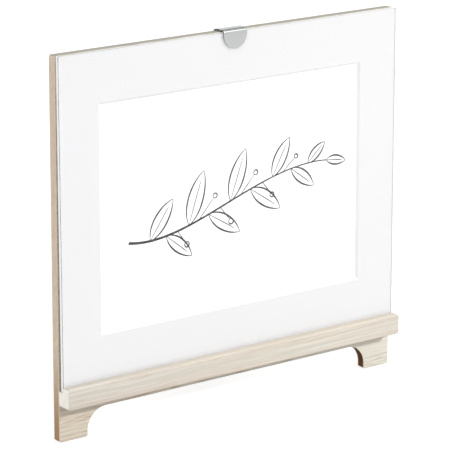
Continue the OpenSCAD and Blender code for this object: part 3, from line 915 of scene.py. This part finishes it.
def clip_line():
    """Middle line of the strip, in Y and Z, from the tip of the tongue over the top to the foot of the leg,
    and the distance of its points from the bottom of the valley, with a minus on the tongue's side."""
    board_up = board_axes[2]
    picture_up = picture_axes[2]
    slope = np.linalg.norm(np.cross(board_up, picture_up)) / (board_up @ picture_up)
    tongue = TONGUE_STRAIGHT + CLIP_HALF
    picture_t = GLASS_T + MAT_T + PRINT_T
    front = -(PICTURE_GAP + picture_t + CLIP_GAP + tongue * slope + CLIP_T / 2)
    back = BOARD_T + CLIP_GAP + CLIP_T / 2
    top = BOARD_H + CLIP_T / 2
    quarter = math.pi / 2
    roll = np.array([front + ROLL_R, top])
    valley = roll + (ROLL_R + VALLEY_R) * np.array([math.sin(FALL), math.cos(FALL)])
    valley_low = valley - np.array([0.0, VALLEY_R])
    valley_end = valley + VALLEY_R * np.array([math.sin(RISE), -math.cos(RISE)])
    bow_end_y = back - BACK_R * (1 - math.sin(RISE))
    bow_r = (bow_end_y - valley_end[0]) / (2 * math.sin(RISE))
    bow = np.array([(bow_end_y + valley_end[0]) / 2, valley_end[1] - bow_r * math.cos(RISE)])
    bend = np.array([back - BACK_R, valley_end[1] - BACK_R * math.cos(RISE)])
    round_end = CLIP_HALF * (1 - np.cos(np.linspace(TIP_ANGLE, quarter, TIP_POINTS)))
    tongue_z = top - tongue + np.append(round_end, tongue - FLAT_BELOW_ROLL)
    corner = CLIP_LEG_CORNER * (1 - np.cos(np.linspace(quarter, 0.0, LEG_CORNER_POINTS)))
    leg_z = BOARD_H - CLIP_LEG + corner
    line = np.concatenate([
        np.stack([np.full_like(tongue_z, front), tongue_z], axis=1),
        arc(roll, ROLL_R, 2 * quarter, quarter - FALL, steps=14),
        arc(valley, VALLEY_R, 3 * quarter - FALL, 3 * quarter + RISE, steps=10)[1:],
        arc(bow, bow_r, quarter + RISE, quarter - RISE, steps=20)[1:],
        arc(bend, BACK_R, quarter - RISE, 0.0, steps=12)[1:],
        np.stack([np.full_like(leg_z, back), leg_z], axis=1)])
    past = line - valley_low
    return line, np.sign(past[:, 0]) * np.linalg.norm(past, axis=1)


def clip_rings(line):
    """Flat section with round edges, as wide as the tongue's circle, the leg's corners and the strip allow,
    and which points of the section lie on its round edges."""
    step = np.linalg.norm(np.diff(line, axis=0), axis=1)
    run = np.concatenate([[0.0], np.cumsum(step)]) + CLIP_HALF * (1 - math.cos(TIP_ANGLE))
    half = CLIP_HALF - np.maximum(fall_away(run, CLIP_HALF), fall_away(run[-1] - run, CLIP_LEG_CORNER))
    out = left_of(unit_rows(np.gradient(line, axis=0)))
    # A quarter of the section turns from its side to its face, and ends with one more point on the face
    quarter_turn = np.array([0, 30, 60, 90, 90])
    on_face = np.array([0, 0, 0, 0, 1])
    count = len(quarter_turn)
    turn = np.radians(np.concatenate([
        quarter_turn, 180 - quarter_turn[::-1], 180 + quarter_turn, 360 - quarter_turn[::-1]]))
    side = np.repeat([1.0, -1.0, 1.0], [count, 2 * count, count])
    face = np.repeat([1.0, -1.0], 2 * count)
    back_off = CLIP_EDGE + FLAT_FROM_EDGE * np.tile(np.concatenate([on_face, on_face[::-1]]), 2)
    x = side * (half[:, None] - back_off) + CLIP_EDGE * np.cos(turn)
    lift = face * (CLIP_T / 2 - CLIP_EDGE - HAIR) + CLIP_EDGE * np.sin(turn)
    y = line[:, :1] + out[:, :1] * lift
    z = line[:, 1:] + out[:, 1:] * lift
    on_edge = np.tile(np.concatenate([quarter_turn, quarter_turn[::-1]]), 2) < 90
    return np.stack([x, y, z], axis=-1), on_edge


line, from_valley = clip_line()
section_rings, on_edge = clip_rings(line)
rings = on_board(section_rings)
spring_clip = add_mesh("spring_clip", rings, skin(rings))
print("the clip has", len(line), "rings of", len(on_edge), "points")

# %% [markdown]
# The steel is painted dark round the bottom of the valley and up the bow, as painted shade and reflection,
# and its round edges are darker. The points of the mesh carry both as an attribute, and the material darkens
# the steel by it. The clip blocks the weaker lamp only, so it is taken out of the shadows of the other.

# %% Finish of the clip
# Distances past the bottom of the valley where the painted shade starts, is full, is full still, and ends
VALLEY_SHADE_STRETCH = [-0.3, -0.1, 0.9, 1.06]
# How much darker the round edges of the strip are
DARK_EDGE = 0.8
DARKENED_STEEL = srgb(26, 26, 28)


def steel_material(name, light, dark, roughness, lines):
    """Metal whose tone and gloss vary a little with fine noise. It is darkened where its points carry
    painted shade or a dark edge.
    """
    material, tree, shader = new_material(name)
    place = add_node(tree, "TexCoord").outputs["Object"]
    cloud = stretched_noise(tree, place, (lines, lines, lines), 3.0)
    valley_shade_and_dark_edge = add_node(tree, "Attribute", attribute_name="valley_shade_and_dark_edge").outputs["Fac"]
    tone = mix_colours(tree, cloud, dark, light)
    tree.links.new(mix_colours(tree, valley_shade_and_dark_edge, tone, DARKENED_STEEL), shader.inputs["Base Color"])
    shader.inputs["Metallic"].default_value = 1.0
    gloss = mapped(tree, cloud, 0.2, 0.8, roughness * 0.8, roughness * 1.2)
    tree.links.new(gloss, shader.inputs["Roughness"])
    return material


# Painted shade and reflection: dark steel round the bottom of the valley; the round edges are darker too
valley_shade = np.interp(from_valley, VALLEY_SHADE_STRETCH, [0.0, 1.0, 1.0, 0.0])
valley_shade_and_dark_edge = np.maximum(valley_shade[:, None], DARK_EDGE * on_edge)
darkening_points = spring_clip.data.attributes.new("valley_shade_and_dark_edge", "FLOAT", "POINT")
darkening_points.data.foreach_set("value", valley_shade_and_dark_edge.ravel())
clip_steel = steel_material("clip_steel", srgb(198, 200, 199), srgb(192, 194, 194), 0.1, 300.0)
dress(spring_clip, "clip", [clip_steel], "top_clip")

shadowless = bpy.data.collections.new("shadowless")
shadowless.objects.link(spring_clip)
shadowless.collection_objects[0].light_linking.link_state = "EXCLUDE"
lamp_past_clip.light_linking.blocker_collection = shadowless

# %% [markdown]
# ## The leg and its fittings
# Behind the board a wooden leg swings on a rivet between two ears of a steel bracket. The CAD solids have
# the holes and bends that a new mesh would have to repeat, so they are kept here, and a small bevel eases
# the edges of the leg and of the bracket.

# %% Leg and bracket
# The head of the leg stands further forward than its foot, and its grain runs along it
LEG_TILT = math.radians(-10.0)
UPRIGHT = math.radians(90.0)
# Only faces that are nearly level count as the ends of the leg
END_ASLANT = 0.9
END_SQUARE = 0.97
LEG_END = srgb(212, 200, 180)
LEG_BEVEL = 0.7 * MM
BRACKET_BEVEL = 0.18 * MM


def ease(piece, width):
    """Joins the piece's loose triangles, bevels its edges, and shades the bevel with the faces' normals."""
    piece.modifiers.new("join", "WELD").merge_threshold = 1e-6
    bevel = piece.modifiers.new("ease", "BEVEL")
    bevel.width = width
    bevel.segments = 3
    bevel.limit_method = "ANGLE"
    bevel.angle_limit = math.radians(40.0)
    bevel.use_clamp_overlap = True
    shading = piece.modifiers.new("shade", "WEIGHTED_NORMAL")
    shading.keep_sharp = True


leg_wood = wood_material(
    "leg_wood",
    {"light": srgb(222, 214, 199), "dark": srgb(200, 190, 173), "warm": srgb(255, 246, 238),
     "cool": srgb(250, 253, 244), "pore": srgb(156, 126, 96), "edge": LEG_END, "top": LEG_END,
     "left": WHITE},
    lambda tree: mapped(tree, facing(tree, UP), END_ASLANT, END_SQUARE),
    turn=(LEG_TILT, UPRIGHT, 0.0), pore_amount=0.4)
zinc = steel_material("zinc", srgb(196, 198, 202), srgb(168, 170, 174), 0.3, 500.0)
ease(nodes["folding_leg"], LEG_BEVEL)
ease(nodes["leg_bracket"], BRACKET_BEVEL)
dress(nodes["folding_leg"], "leg", [leg_wood])
dress(nodes["leg_bracket"], "frame", [zinc])
dress(nodes["leg_rivet"], "frame", [zinc])
dress(nodes["bracket_screws"], "frame", [zinc])
dress(nodes["ledge_screws"], "frame", [zinc])
